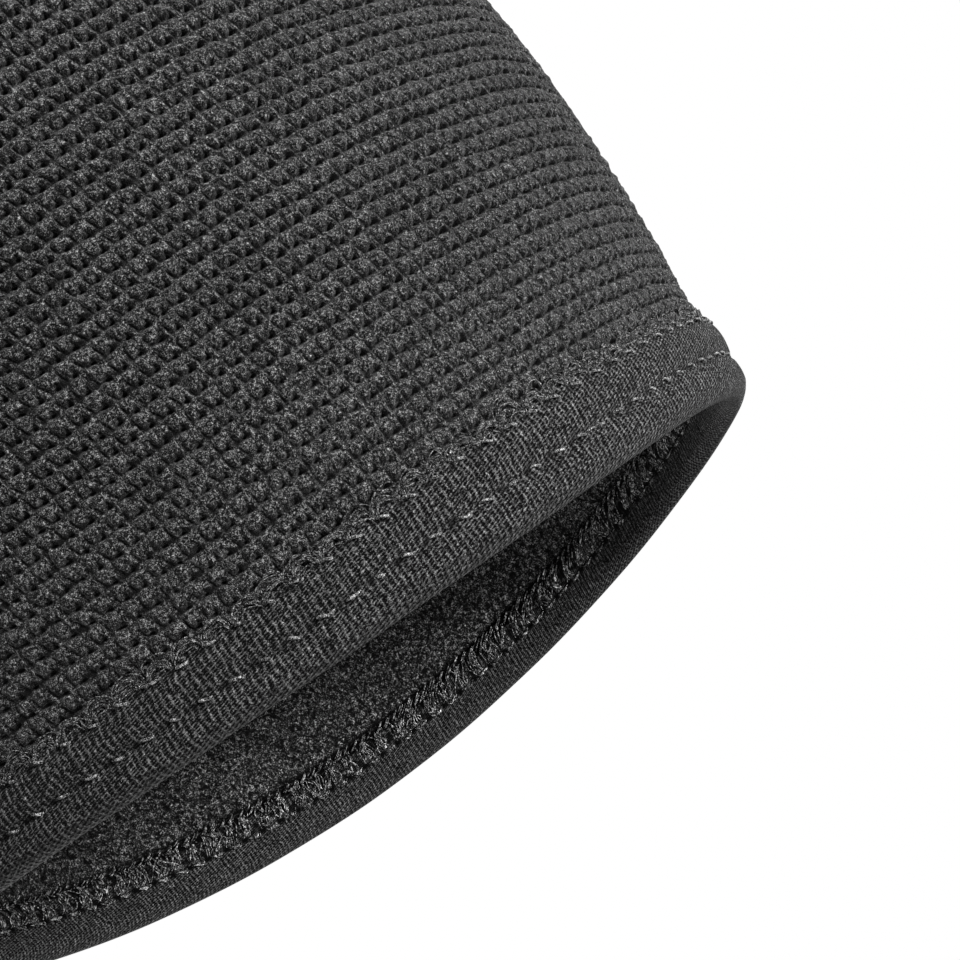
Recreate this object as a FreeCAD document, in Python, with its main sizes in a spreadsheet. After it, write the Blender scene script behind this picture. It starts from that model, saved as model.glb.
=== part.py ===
import FreeCAD, Part
import math
import os

# A pull-on knitted knee brace standing upright on its calf hem.
# +Z runs up the leg, -Y is the front of the knee, and X runs from side to side.
# The origin is on the floor, midway between the widest points of the sleeve.
# Lengths are millimetres.

doc = FreeCAD.newDocument("knee_brace")
sheet = doc.addObject("Spreadsheet::Sheet", "dims")

SIZES = {
    "back_height": 265.0,  # floor to the thigh hem at the back of the thigh
    "front_rise": 25.0,  # how much higher the thigh hem stands at the front
    "hem_spare": 10.0,  # how far the top section lies above the front of the hem
    "hem_half_depth": 47.0,  # half depth of the sleeve at the thigh hem
    "knit_wall": 2.2,
    "tape_thickness": 0.8,  # the folded binding tape, one layer
    "tape_depth": 8.8,  # hem edge to the tape's raw edge
    "sewn_gap": 0.05,  # between pieces sewn together
    "body_gap": 0.3,  # between pieces that can move apart
    "near_row_depth": 4.2,  # hem edge to the first row of needle stitches
    "needle_gauge": 4.0,  # between the two needle rows
    "stitch_length": 3.15,
    "needle_hole": 0.5,  # knit left bare between one stitch and the next
    "needle_thread": 0.35,  # diameters of the threads
    "loop_thread": 0.3,
    "loop_reach": 1.5,  # how far the cover loops reach past the tape's raw edge
    "knee_zone_bottom": 80.0,  # the knit that bends lies between these levels
    "knee_zone_top": 200.0,
    "stay_bottom": 50.0,
    "stay_top": 218.0,
    "stay_width": 6.0,
    "stay_thickness": 1.6,
    "stay_setback": 6.0,  # the stays behind the origin
    "stay_play": 0.6,  # room between a stay and its channel, front and back
    "tip_length": 6.0,
    "tip_overhang": 0.8,  # how much wider than the stay its tip is, on each side
    "channel_width": 17.0,
    "channel_cavity": 9.0,
    "channel_end": 4.0,  # closed length past each tip
    "channel_tape": 0.7,
    "ring_level": 140.0,
    "ring_half_height": 41.0,
    "ring_half_width": 34.0,
    "ring_band": 11.0,
    "ring_thickness": 5.0,
    "pocket_border": 6.0,  # sewn border of the lining round the ring
    "seam_inset": 1.6,  # stitches inside the edge of a channel or the lining
    "lining_thickness": 0.8,
}

# Sections of the sleeve from the calf hem up: level, half width, half depth and how far the
# section's centre lies behind the origin. They describe the outside face of the knit, and the
# top one is above the whole of the thigh hem.
STATIONS = {
    "calf_hem": {"level": 0.0, "half_width": 47.0, "half_depth": 40.5, "setback": 2.0},
    "calf_gather": {"level": 24.0, "half_width": 49.5, "half_depth": 42.5, "setback": 2.5},
    "calf_belly": {"level": 72.0, "half_width": 52.0, "half_depth": 44.5, "setback": 3.0},
    "below_knee": {"level": 112.0, "half_width": 51.0, "half_depth": 43.5, "setback": 1.0},
    "knee": {"level": 140.0, "half_width": 52.0, "half_depth": 44.5, "setback": 0.0},
    "above_knee": {"level": 182.0, "half_width": 55.0, "half_depth": 46.5, "setback": 0.0},
    "thigh_belly": {"level": 222.0, "half_width": 60.5, "half_depth": 49.5, "setback": 0.0},
    "thigh_gather": {"level": 246.0, "half_width": 60.5, "half_depth": 49.0, "setback": 0.0},
    "thigh_top": {
        "level": SIZES["back_height"] + SIZES["front_rise"] + SIZES["hem_spare"],
        "half_width": 57.0,
        "half_depth": 45.0,
        "setback": 0.0,
    },
}
STATION_NAMES = list(STATIONS)

LIMB_ROOM = 90.0  # half width of the cutting blocks, past the widest section
TWO_SIDES = (("right", 1.0), ("left", -1.0))


def fill_sheet():
    """Write every driving dimension into the sheet under its own alias."""
    values = dict(SIZES)
    for station, section in STATIONS.items():
        for measure, number in section.items():
            values[f"{station}_{measure}"] = number
    for row, (alias, number) in enumerate(values.items(), start=1):
        sheet.set(f"A{row}", alias)
        sheet.set(f"B{row}", str(number))
        sheet.setAlias(f"B{row}", alias)
    doc.recompute()


def size(alias):
    """A driving dimension as a number."""
    return float(sheet.get(alias))


# ---------------------------------------------------------------- building blocks


def skin(name, outward):
    """A solid sleeve whose face lies the expression outward outside the knit."""
    sections = []
    for station in STATIONS:
        width = f"dims.{station}_half_width"
        depth = f"dims.{station}_half_depth"
        ring = doc.addObject("Part::Ellipse", f"{name}_{station}")
        ring.setExpression("MajorRadius", f"max({width}; {depth}) + {outward}")
        ring.setExpression("MinorRadius", f"min({width}; {depth}) + {outward}")
        ring.setExpression("Placement.Base.y", f"dims.{station}_setback")
        ring.setExpression("Placement.Base.z", f"dims.{station}_level")
        ring.setExpression("Placement.Rotation.Angle", f"{depth} > {width} ? 90 : 0")
        # The curve starts and ends at the back, where nothing is attached.
        for end in ("Angle1", "Angle2"):
            ring.setExpression(end, f"{depth} > {width} ? 0 : 90")
        sections.append(ring)
    loft = doc.addObject("Part::Loft", name)
    loft.Sections = sections
    loft.Solid = True
    loft.Ruled = True
    return loft


def boolean(kind, name, base, tool):
    """A Part boolean of two objects: Cut, Fuse or Common."""
    result = doc.addObject(f"Part::{kind}", name)
    result.Base = base
    result.Tool = tool
    return result


def block(name, low, high, half_width="0", centre_y="0", side=0.0):
    """A cutting block between two levels, as wide as the limb or narrowed to one side."""
    box = doc.addObject("Part::Box", name)
    box.setExpression("Placement.Base.z", low)
    box.setExpression("Height", f"({high}) - ({low})")
    if half_width == "0":
        box.Width = 2 * LIMB_ROOM
        box.setExpression("Placement.Base.y", f"{centre_y} - {LIMB_ROOM}")
    else:
        box.setExpression("Width", f"2 * ({half_width})")
        box.setExpression("Placement.Base.y", f"{centre_y} - ({half_width})")
    box.Length = LIMB_ROOM if side else 2 * LIMB_ROOM
    box.setExpression("Placement.Base.x", "0" if side > 0 else f"-{LIMB_ROOM}")
    return box


def hem_share(y):
    """0 at the back of the thigh hem and 1 at its front."""
    depth = size("hem_half_depth")
    return (depth - y) / (2 * depth)


def hem_level(y):
    """The thigh hem's level: a parabola that rises towards the front."""
    return size("back_height") + size("front_rise") * hem_share(y) ** 2


def below_hem(name, depth):
    """A block that ends depth under the thigh hem's contour."""
    back_share = hem_share(LIMB_ROOM)
    front_share = hem_share(-LIMB_ROOM)
    middle_level = size("back_height") + size("front_rise") * back_share * front_share
    edge = Part.BezierCurve()
    edge.setPoles([
        FreeCAD.Vector(-LIMB_ROOM, LIMB_ROOM, hem_level(LIMB_ROOM) - depth),
        FreeCAD.Vector(-LIMB_ROOM, 0, middle_level - depth),
        FreeCAD.Vector(-LIMB_ROOM, -LIMB_ROOM, hem_level(-LIMB_ROOM) - depth),
    ])
    corners = [
        edge.StartPoint,
        FreeCAD.Vector(-LIMB_ROOM, LIMB_ROOM, 0),
        FreeCAD.Vector(-LIMB_ROOM, -LIMB_ROOM, 0),
        edge.EndPoint,
    ]
    outline = Part.Wire([edge.toShape()] + Part.makePolygon(corners).Edges)
    prism = Part.Face(outline).extrude(FreeCAD.Vector(2 * LIMB_ROOM, 0, 0))
    feature = doc.addObject("Part::Feature", name)
    feature.Shape = prism
    return feature


def oval_plug(name, half_height, half_width):
    """An oval bar that runs forwards from the middle of the knee."""
    oval = doc.addObject("Part::Ellipse", f"{name}_outline")
    oval.Placement.Rotation = FreeCAD.Rotation(
        FreeCAD.Vector(0, 0, 1), FreeCAD.Vector(1, 0, 0), FreeCAD.Vector(0, 1, 0), "XYZ"
    )
    oval.setExpression("MajorRadius", half_height)
    oval.setExpression("MinorRadius", half_width)
    oval.setExpression("Placement.Base.z", "dims.ring_level")
    bar = doc.addObject("Part::Extrusion", name)
    bar.Base = oval
    bar.DirMode = "Custom"
    bar.Dir = FreeCAD.Vector(0, -1, 0)
    bar.LengthFwd = LIMB_ROOM
    bar.Solid = True
    return bar


# ---------------------------------------------------------------- knit and bindings


def make_knit(nodes):
    """The knitted tube, in the thigh, knee and calf zones that move apart."""
    outside = skin("knit_outside", "0")
    inside = skin("knit_inside", "-dims.knit_wall")
    tube = boolean("Cut", "knit_tube", outside, inside)
    calf_edge = "dims.tape_thickness + dims.sewn_gap"
    calf = block("calf_zone", calf_edge, "dims.knee_zone_bottom - dims.body_gap / 2")
    knee = block(
        "knee_zone",
        "dims.knee_zone_bottom + dims.body_gap / 2",
        "dims.knee_zone_top - dims.body_gap / 2",
    )
    under_knee = block("below_thigh_zone", "0", "dims.knee_zone_top + dims.body_gap / 2")
    hem = below_hem("thigh_knit_hem", size("tape_thickness") + size("sewn_gap"))
    thigh = boolean("Cut", "thigh_zone", hem, under_knee)
    nodes["calf_knit"] = boolean("Common", "calf_knit", tube, calf)
    nodes["knee_knit"] = boolean("Common", "knee_knit", tube, knee)
    nodes["thigh_knit"] = boolean("Common", "thigh_knit", tube, thigh)


def make_bindings(nodes):
    """A tape folded over each hem: one layer outside, one inside and the fold between."""
    outside = skin("tape_outside", "dims.tape_thickness")
    inside = skin("tape_inside", "-(dims.knit_wall + dims.tape_thickness)")
    sandwich = boolean("Cut", "tape_sandwich", outside, inside)
    core_outside = skin("core_outside", "dims.sewn_gap")
    core_inside = skin("core_inside", "-(dims.knit_wall + dims.sewn_gap)")
    core = boolean("Cut", "tape_core", core_outside, core_inside)

    thigh_edge = below_hem("thigh_hem_edge", 0.0)
    thigh_raw_edge = below_hem("thigh_tape_edge", size("tape_depth"))
    thigh_fold = below_hem("thigh_tape_fold", size("tape_thickness"))
    thigh_band = boolean("Cut", "thigh_band", thigh_edge, thigh_raw_edge)
    thigh_layers = boolean("Common", "thigh_tape_layers", sandwich, thigh_band)
    thigh_core = boolean("Common", "thigh_core", core, thigh_fold)
    nodes["thigh_binding"] = boolean("Cut", "thigh_binding", thigh_layers, thigh_core)

    calf_band = block("calf_band", "0", "dims.tape_depth")
    calf_inside = block("calf_inside", "dims.tape_thickness", "2 * dims.tape_depth")
    calf_layers = boolean("Common", "calf_tape_layers", sandwich, calf_band)
    calf_core = boolean("Common", "calf_core", core, calf_inside)
    nodes["calf_binding"] = boolean("Cut", "calf_binding", calf_layers, calf_core)


# ---------------------------------------------------------------- stays and kneecap ring


def make_stays(nodes):
    """A flat spring stay on each side of the knee, tipped and held in a sewn channel."""
    face = "-(dims.knit_wall + dims.body_gap"
    channel_outside = skin("channel_outside", f"{face})")
    cavity_bottom = skin(
        "cavity_bottom", f"{face} + dims.stay_thickness + 2 * dims.stay_play)"
    )
    channel_inside = skin(
        "channel_inside",
        f"{face} + dims.stay_thickness + 2 * dims.stay_play + dims.channel_tape)",
    )
    stay_outside = skin("stay_outside", f"{face} + dims.stay_play)")
    stay_inside = skin("stay_inside", f"{face} + dims.stay_play + dims.stay_thickness)")
    cavity_mouth = skin("cavity_mouth", "-dims.knit_wall / 2")
    channel_layer = boolean("Cut", "channel_layer", channel_outside, channel_inside)
    cavity_layer = boolean("Cut", "cavity_layer", cavity_mouth, cavity_bottom)
    stay_layer = boolean("Cut", "stay_layer", stay_outside, stay_inside)

    reach = "dims.tip_length + dims.sewn_gap + dims.channel_end"
    room = "dims.tip_length + dims.sewn_gap + dims.body_gap"
    stay_room = dict(half_width="dims.stay_width / 2", centre_y="dims.stay_setback")
    tip_room = dict(
        half_width="dims.stay_width / 2 + dims.tip_overhang", centre_y="dims.stay_setback"
    )
    upper_tips, lower_tips = [], []
    for side, sign in TWO_SIDES:
        envelope = block(
            f"{side}_channel_block",
            f"dims.stay_bottom - ({reach})",
            f"dims.stay_top + ({reach})",
            half_width="dims.channel_width / 2",
            centre_y="dims.stay_setback",
            side=sign,
        )
        hollow = block(
            f"{side}_cavity_block",
            f"dims.stay_bottom - ({room})",
            f"dims.stay_top + ({room})",
            half_width="dims.channel_cavity / 2",
            centre_y="dims.stay_setback",
            side=sign,
        )
        wall = boolean("Common", f"{side}_channel_wall", channel_layer, envelope)
        cavity = boolean("Common", f"{side}_channel_cavity", cavity_layer, hollow)
        nodes[f"{side}_channel"] = boolean("Cut", f"{side}_channel", wall, cavity)

        bar = block(
            f"{side}_stay_block", "dims.stay_bottom", "dims.stay_top", side=sign, **stay_room
        )
        nodes[f"{side}_stay"] = boolean("Common", f"{side}_stay", stay_layer, bar)

        top = block(
            f"{side}_upper_tip_block",
            "dims.stay_top + dims.sewn_gap",
            "dims.stay_top + dims.sewn_gap + dims.tip_length",
            side=sign,
            **tip_room,
        )
        bottom = block(
            f"{side}_lower_tip_block",
            "dims.stay_bottom - dims.sewn_gap - dims.tip_length",
            "dims.stay_bottom - dims.sewn_gap",
            side=sign,
            **tip_room,
        )
        upper_tips.append(boolean("Common", f"{side}_upper_tip", stay_layer, top))
        lower_tips.append(boolean("Common", f"{side}_lower_tip", stay_layer, bottom))
    nodes["upper_stay_tips"] = pair("upper_stay_tips", upper_tips)
    nodes["lower_stay_tips"] = pair("lower_stay_tips", lower_tips)


def pair(name, members):
    """Two like pieces as one node."""
    group = doc.addObject("Part::Compound", name)
    group.Links = members
    return group


def make_kneecap_ring(nodes):
    """A soft oval ring round the kneecap, under a lining sewn inside the knit."""
    face = "-(dims.knit_wall + dims.body_gap"
    ring_outside = skin("ring_outside", f"{face})")
    ring_inside = skin("ring_inside", f"{face} + dims.ring_thickness)")
    pocket_bottom = skin(
        "pocket_bottom", f"{face} + dims.ring_thickness + dims.body_gap)"
    )
    pocket_inside = skin(
        "pocket_inside",
        f"{face} + dims.ring_thickness + dims.body_gap + dims.lining_thickness)",
    )
    ring_layer = boolean("Cut", "ring_layer", ring_outside, ring_inside)
    pocket_layer = boolean("Cut", "pocket_layer", ring_outside, pocket_inside)
    pocket_mouth = skin("pocket_mouth", "-dims.knit_wall / 2")
    pocket_cavity = boolean("Cut", "pocket_cavity_layer", pocket_mouth, pocket_bottom)

    rim = oval_plug("ring_rim", "dims.ring_half_height", "dims.ring_half_width")
    hole = oval_plug(
        "ring_hole",
        "dims.ring_half_height - dims.ring_band",
        "dims.ring_half_width - dims.ring_band",
    )
    hollow = oval_plug(
        "pocket_hollow",
        "dims.ring_half_height + dims.body_gap",
        "dims.ring_half_width + dims.body_gap",
    )
    border = oval_plug(
        "pocket_rim",
        "dims.ring_half_height + dims.pocket_border",
        "dims.ring_half_width + dims.pocket_border",
    )
    solid_ring = boolean("Common", "ring_blank", ring_layer, rim)
    nodes["kneecap_ring"] = boolean("Cut", "kneecap_ring", solid_ring, hole)
    blank = boolean("Common", "pocket_blank", pocket_layer, border)
    cavity = boolean("Common", "pocket_cavity", pocket_cavity, hollow)
    nodes["kneecap_lining"] = boolean("Cut", "kneecap_lining", blank, cavity)


# ---------------------------------------------------------------- threads


def section_at(level):
    """Half width, half depth and setback of the knit's outside face at a level."""
    for low, high in zip(STATION_NAMES, STATION_NAMES[1:]):
        bottom = size(f"{low}_level")
        top = size(f"{high}_level")
        if level <= top or high == STATION_NAMES[-1]:
            share = (level - bottom) / (top - bottom)
            return [
                size(f"{low}_{measure}") * (1 - share) + size(f"{high}_{measure}") * share
                for measure in ("half_width", "half_depth", "setback")
            ]


def on_knit(angle, level, lift):
    """A point lift outside the knit at a level, angle round from the back."""
    half_width, half_depth, setback = section_at(level)
    return FreeCAD.Vector(
        (half_width + lift) * math.sin(angle),
        setback + (half_depth + lift) * math.cos(angle),
        level,
    )


def on_hem(hem, angle, depth, lift):
    """A point depth from a hem's edge and lift outside the knit, angle round from the back."""
    y = size("hem_half_depth") * math.cos(angle)
    for _ in range(4):
        level = hem_level(y) - depth if hem == "thigh" else depth
        y = on_knit(angle, level, lift).y
    return on_knit(angle, level, lift)


def beside_stay(sign, y, level, lift):
    """A point on the side of the knit at a given y."""
    _, half_depth, setback = section_at(level)
    return on_knit(sign * math.acos((y - setback) / (half_depth + lift)), level, lift)


def before_knee(x, level, lift):
    """A point on the front of the knit at a given x."""
    half_width = section_at(level)[0]
    return on_knit(math.pi - math.asin(x / (half_width + lift)), level, lift)


def stitch_angles(hem, depth):
    """Angles round a hem that part its needle row into whole stitches of even length."""
    steps = 720
    angles = [2 * math.pi * step / steps for step in range(steps + 1)]
    points = [on_hem(hem, angle, depth, 0.0) for angle in angles]
    lengths = [0.0]
    for before, after in zip(points, points[1:]):
        lengths.append(lengths[-1] + before.distanceToPoint(after))
    count = round(lengths[-1] / size("stitch_length"))
    found, step = [], 0
    for number in range(count):
        target = lengths[-1] * number / count
        while lengths[step + 1] < target:
            step += 1
        share = (target - lengths[step]) / (lengths[step + 1] - lengths[step])
        found.append(angles[step] + share * (angles[step + 1] - angles[step]))
    return found


def rod(start, end, diameter):
    """A straight piece of thread between two points."""
    run = end - start
    return Part.makeCylinder(diameter / 2, run.Length, start, run)


def between(start, end, share):
    return start + (end - start) * share


def thread_group(name, solids):
    group = doc.addObject("Part::Feature", name)
    group.Shape = Part.makeCompound(solids)
    return group


def dash_line(points, diameter):
    """One straight stitch from each point to the next, bare at its needle holes."""
    bare = size("needle_hole") / size("stitch_length") / 2
    return [
        rod(between(start, end, bare), between(start, end, 1 - bare), diameter)
        for start, end in zip(points, points[1:])
    ]


def needle_stitches(hem):
    """Two rows of straight stitches on the outside of a binding."""
    lift = size("tape_thickness") + size("sewn_gap") + size("needle_thread") / 2
    near_row = size("near_row_depth")
    angles = stitch_angles(hem, near_row) + [2 * math.pi]
    solids = []
    for depth in (near_row, near_row + size("needle_gauge")):
        points = [on_hem(hem, angle, depth, lift) for angle in angles]
        solids += dash_line(points, size("needle_thread"))
    return solids


def looper_rungs(hem):
    """The looper thread's slanting rungs between the two rows, inside a binding."""
    thread = size("loop_thread")
    drop = size("knit_wall") + size("tape_thickness") + size("sewn_gap") + thread / 2
    near_row = size("near_row_depth")
    far_row = near_row + size("needle_gauge")
    angles = stitch_angles(hem, near_row)
    solids = []
    for angle, following in zip(angles, angles[1:] + [2 * math.pi]):
        start = on_hem(hem, angle, near_row, -drop)
        end = on_hem(hem, following, far_row, -drop)
        solids.append(rod(start, end, thread))
    return solids


def cover_loops(hem):
    """Arcs of cover thread that hold down the tape's raw edge, one over each stitch."""
    thread = size("loop_thread")
    lift = size("sewn_gap") + thread / 2
    foot = size("tape_depth") + size("sewn_gap") + thread / 2
    reach = size("loop_reach") - thread
    angles = stitch_angles(hem, size("near_row_depth"))
    solids = []
    for angle, following in zip(angles, angles[1:] + [2 * math.pi]):
        middle = (angle + following) / 2
        quarter = (following - angle) / 4
        start = on_hem(hem, middle + quarter, foot, lift)
        crown_start = on_hem(hem, middle + quarter / 2, foot + reach, lift)
        crown_end = on_hem(hem, middle - quarter / 2, foot + reach, lift)
        end = on_hem(hem, middle - quarter, foot, lift)
        route = Part.makePolygon([start, crown_start, crown_end, end])
        profile = Part.Wire(Part.makeCircle(thread / 2, start, crown_start - start))
        solids.append(route.makePipeShell([profile], True, False, 1))
    return solids


def channel_stitches(sign):
    """A row of stitches down each long side of a channel, outside the knit."""
    lift = size("body_gap") + size("needle_thread") / 2
    reach = size("tip_length") + size("sewn_gap") + size("channel_end") - size("seam_inset")
    bottom = size("stay_bottom") - reach
    top = size("stay_top") + reach
    count = round((top - bottom) / size("stitch_length"))
    offset = size("channel_width") / 2 - size("seam_inset")
    solids = []
    for y in (size("stay_setback") - offset, size("stay_setback") + offset):
        levels = [bottom + (top - bottom) * number / count for number in range(count + 1)]
        points = [beside_stay(sign, y, level, lift) for level in levels]
        solids += dash_line(points, size("needle_thread"))
    return solids


def lining_stitches():
    """An oval row of stitches round the lining's border, outside the knit."""
    lift = size("body_gap") + size("needle_thread") / 2
    inset = size("pocket_border") - size("seam_inset")
    half_height = size("ring_half_height") + inset
    half_width = size("ring_half_width") + inset
    girth = math.pi * (half_height + half_width)
    count = round(girth / size("stitch_length"))
    points = []
    for number in range(count + 1):
        angle = 2 * math.pi * number / count
        level = size("ring_level") + half_height * math.cos(angle)
        points.append(before_knee(half_width * math.sin(angle), level, lift))
    return dash_line(points, size("needle_thread"))


def make_seams(nodes):
    """The stitches that hold the channels and the lining to the knit."""
    for side, sign in TWO_SIDES:
        name = f"{side}_channel_stitches"
        nodes[name] = thread_group(name, channel_stitches(sign))
    nodes["lining_stitches"] = thread_group("lining_stitches", lining_stitches())


def make_threads(nodes):
    """The coverstitch round each hem."""
    for hem in ("calf", "thigh"):
        for kind, stitches in (
            ("needle_stitches", needle_stitches),
            ("looper_rungs", looper_rungs),
            ("cover_loops", cover_loops),
        ):
            name = f"{hem}_{kind}"
            nodes[name] = thread_group(name, stitches(hem))


# ---------------------------------------------------------------- checks and files


def check_document(nodes):
    """Stop if any object failed or any sub-part is empty or invalid."""
    for item in doc.Objects:
        if "Invalid" in item.State or "Error" in item.State:
            raise RuntimeError(f"{item.Name} failed: {item.State}")
    for name, item in nodes.items():
        if item.Shape.isNull() or not item.Shape.isValid():
            raise RuntimeError(f"{name} has no valid shape")
        for solid in item.Shape.Solids:
            if solid.Volume <= 0:
                raise RuntimeError(f"{name} holds an empty solid")


def write_parts(nodes):
    """Label each sub-part with its node's name and write its STEP file."""
    os.makedirs("parts", exist_ok=True)
    for name, item in nodes.items():
        item.Label = name
        item.Shape.exportStep(f"parts/{name}.step")
        box = item.Shape.optimalBoundingBox(False)
        print(
            f"{name}: {len(item.Shape.Solids)} solids, {item.Shape.Volume:.1f} mm3, "
            f"x {box.XMin:.2f}..{box.XMax:.2f} y {box.YMin:.2f}..{box.YMax:.2f} "
            f"z {box.ZMin:.2f}..{box.ZMax:.2f}"
        )


fill_sheet()
sub_parts = {}
make_knit(sub_parts)
make_bindings(sub_parts)
make_stays(sub_parts)
make_kneecap_ring(sub_parts)
make_threads(sub_parts)
make_seams(sub_parts)
doc.recompute()
check_document(sub_parts)
write_parts(sub_parts)
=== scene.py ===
import math

import bpy
import numpy as np
from mathutils import Matrix, Vector


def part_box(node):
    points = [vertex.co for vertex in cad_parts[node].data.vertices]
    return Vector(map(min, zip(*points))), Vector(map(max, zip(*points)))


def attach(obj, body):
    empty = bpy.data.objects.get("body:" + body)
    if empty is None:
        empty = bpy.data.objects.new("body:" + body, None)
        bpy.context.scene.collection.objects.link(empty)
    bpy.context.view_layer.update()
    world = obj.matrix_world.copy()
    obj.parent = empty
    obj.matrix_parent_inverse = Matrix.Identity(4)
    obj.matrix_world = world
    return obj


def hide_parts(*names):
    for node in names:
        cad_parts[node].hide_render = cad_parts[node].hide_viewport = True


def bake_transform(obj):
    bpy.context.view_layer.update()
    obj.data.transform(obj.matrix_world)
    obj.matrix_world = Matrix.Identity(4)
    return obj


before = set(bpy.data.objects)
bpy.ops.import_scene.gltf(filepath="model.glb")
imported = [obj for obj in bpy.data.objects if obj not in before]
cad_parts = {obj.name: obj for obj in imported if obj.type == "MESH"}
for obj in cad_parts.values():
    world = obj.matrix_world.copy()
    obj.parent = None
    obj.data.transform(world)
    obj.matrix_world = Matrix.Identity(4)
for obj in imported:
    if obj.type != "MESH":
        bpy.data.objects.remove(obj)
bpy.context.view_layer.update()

# A pull-on knitted knee brace standing on its calf hem. Lengths here are millimetres until
# add_piece turns them into metres. +Z runs up the leg, -Y is the front of the knee, "turn" is
# a share of the way round from the back towards +X, and "lift" is how far a point stands
# outside the knit's outer face.

MM = 0.001
TAU = 2 * math.pi
X, Y, Z = range(3)
SIDES = (("right", 1), ("left", -1))  # each side's name, and its sign along X

# ---------------------------------------------------------------- driving sizes

# Sections of the sleeve from the calf hem up: level, half width, half depth, setback.
SECTIONS = np.array((
    (0.0, 47.0, 40.5, 2.0),
    (24.0, 49.5, 42.5, 2.5),
    (72.0, 52.0, 44.5, 3.0),
    (112.0, 51.0, 43.5, 1.0),
    (140.0, 52.0, 44.5, 0.0),
    (182.0, 55.0, 46.5, 0.0),
    (222.0, 60.5, 49.5, 0.0),
    (246.0, 60.5, 49.0, 0.0),
    (300.0, 57.0, 45.0, 0.0),
))
WIDE_SECTION = SECTIONS[6, 1:3]  # the half width and depth that turns are measured round


def node_span(node, axis):
    """A CAD node's lowest and highest coordinate on one axis, in millimetres."""
    low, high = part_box(node)
    return low[axis] / MM, high[axis] / MM


TAPE_DEPTH = node_span("calf_binding", Z)[1]
BACK_HEIGHT = node_span("thigh_binding", Z)[0] + TAPE_DEPTH
FRONT_RISE = 25.0
HEM_HALF_DEPTH = 47.0
FOLLOW_START = 150.0  # rows above this level start to follow the thigh hem
KNIT_WALL = 2.2
KNIT_MARGIN = 0.6  # the knit ends this far inside its hems
TAPE_THICKNESS = 0.8
NEAR_ROW = 4.2  # depths of the two needle rows from a hem's edge
FAR_ROW = 8.2
INNER_NEAR_ROW = 5.0  # where the near row comes out inside the hem
STITCH_LENGTH = 3.15
SEAM_INSET = 1.6  # from the edge of a channel or of the kneecap's lining to its seam
INNER_GAP = 0.3  # between the knit and what is sewn inside it

COLUMNS = 180  # knit cells round the sleeve
ROW_PITCH = 1.9
HEM_ROWS = 37  # rows of the finely modelled knit below the thigh hem
BACK_SHARE = 0.3  # cells within this share of a turn of the back are modelled finest
ROWS = round(BACK_HEIGHT / ROW_PITCH)

# ---------------------------------------------------------------- the sleeve's surface


def smooth(share):
    share = np.clip(share, 0, 1)
    return share * share * (3 - 2 * share)


def pressed(x, half_width):
    """1 on a line and 0 beyond half_width from it."""
    return smooth(1 - np.abs(x) / half_width)


def bell(x):
    """1 at zero, falling away on both sides."""
    return np.exp(-(x**2))


def arched(share):
    """Half a wave, from 0 at a share of 0 to 0 at 1."""
    return np.sin(np.pi * np.clip(share, 0, 1))


def running_sum(steps):
    return np.concatenate([[0], np.cumsum(steps)])


def section(level):
    """Half width, half depth and setback at each level, on a smooth curve."""
    level = np.clip(level, SECTIONS[0, 0], SECTIONS[-1, 0])
    known = SECTIONS[:, 0]
    slopes = np.gradient(SECTIONS[:, 1:], known, axis=0)
    at = np.clip(np.searchsorted(known, level) - 1, 0, len(known) - 2)
    width = known[at + 1] - known[at]
    s = (level - known[at]) / width
    found = []
    for k in range(3):
        low, high = SECTIONS[at, k + 1], SECTIONS[at + 1, k + 1]
        lean_low, lean_high = slopes[at, k] * width, slopes[at + 1, k] * width
        found.append(
            (2 * s**3 - 3 * s**2 + 1) * low + (s**3 - 2 * s**2 + s) * lean_low
            + (3 * s**2 - 2 * s**3) * high + (s**3 - s**2) * lean_high
        )
    return found


def angle_table():
    """Angles round the wide section, and the share of its length that each is at."""
    angles = np.linspace(0, TAU, 1441)
    half_width, half_depth = WIDE_SECTION
    speed = np.hypot(half_width * np.cos(angles), half_depth * np.sin(angles))
    lengths = running_sum((speed[1:] + speed[:-1]) / 2)
    return angles, lengths / lengths[-1]


ANGLES, TURNS = angle_table()


def angle_at(turn):
    """The angle of a share of the way round, with even steps in length."""
    return np.floor(turn) * TAU + np.interp(turn % 1, TURNS, ANGLES)


def turn_at(angle):
    return np.interp(angle % TAU, ANGLES, TURNS)


def surface(turn, level, lift):
    """Points on the sleeve."""
    angle = angle_at(turn)
    half_width, half_depth, setback = section(level)
    x = (half_width + lift) * np.sin(angle)
    y = setback + (half_depth + lift) * np.cos(angle)
    return np.stack(np.broadcast_arrays(x, y, level), -1)


def outward(turn):
    """The direction away from the sleeve."""
    angle = angle_at(turn)
    half_width, half_depth = WIDE_SECTION
    x, y = half_depth * np.sin(angle), half_width * np.cos(angle)
    size = np.hypot(x, y)
    return np.stack([x / size, y / size, np.zeros_like(x)], -1)


def row_level(turn, back_level):
    """The level of a line that lies at back_level at the back and follows the thigh hem."""
    follow = smooth((back_level - FOLLOW_START) / (BACK_HEIGHT - FOLLOW_START))
    level = back_level
    for _ in range(3):
        y = surface(turn, level, 0)[..., Y]
        share = (HEM_HALF_DEPTH - y) / (2 * HEM_HALF_DEPTH)
        level = back_level + FRONT_RISE * share**2 * follow
    return level


def tape_share(turn, level):
    """The thigh tape's depth as a share of its usual one: at the back it is deeper towards +X."""
    point = surface(turn, level, 0)
    mean, swing, middle, spread = 0.03, 0.1, -1, 12
    back_start, back_fade = -10, 30
    uneven = mean + swing * np.tanh((point[..., X] - middle) / spread)
    return 1 + uneven * smooth((point[..., Y] - back_start) / back_fade)


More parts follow.
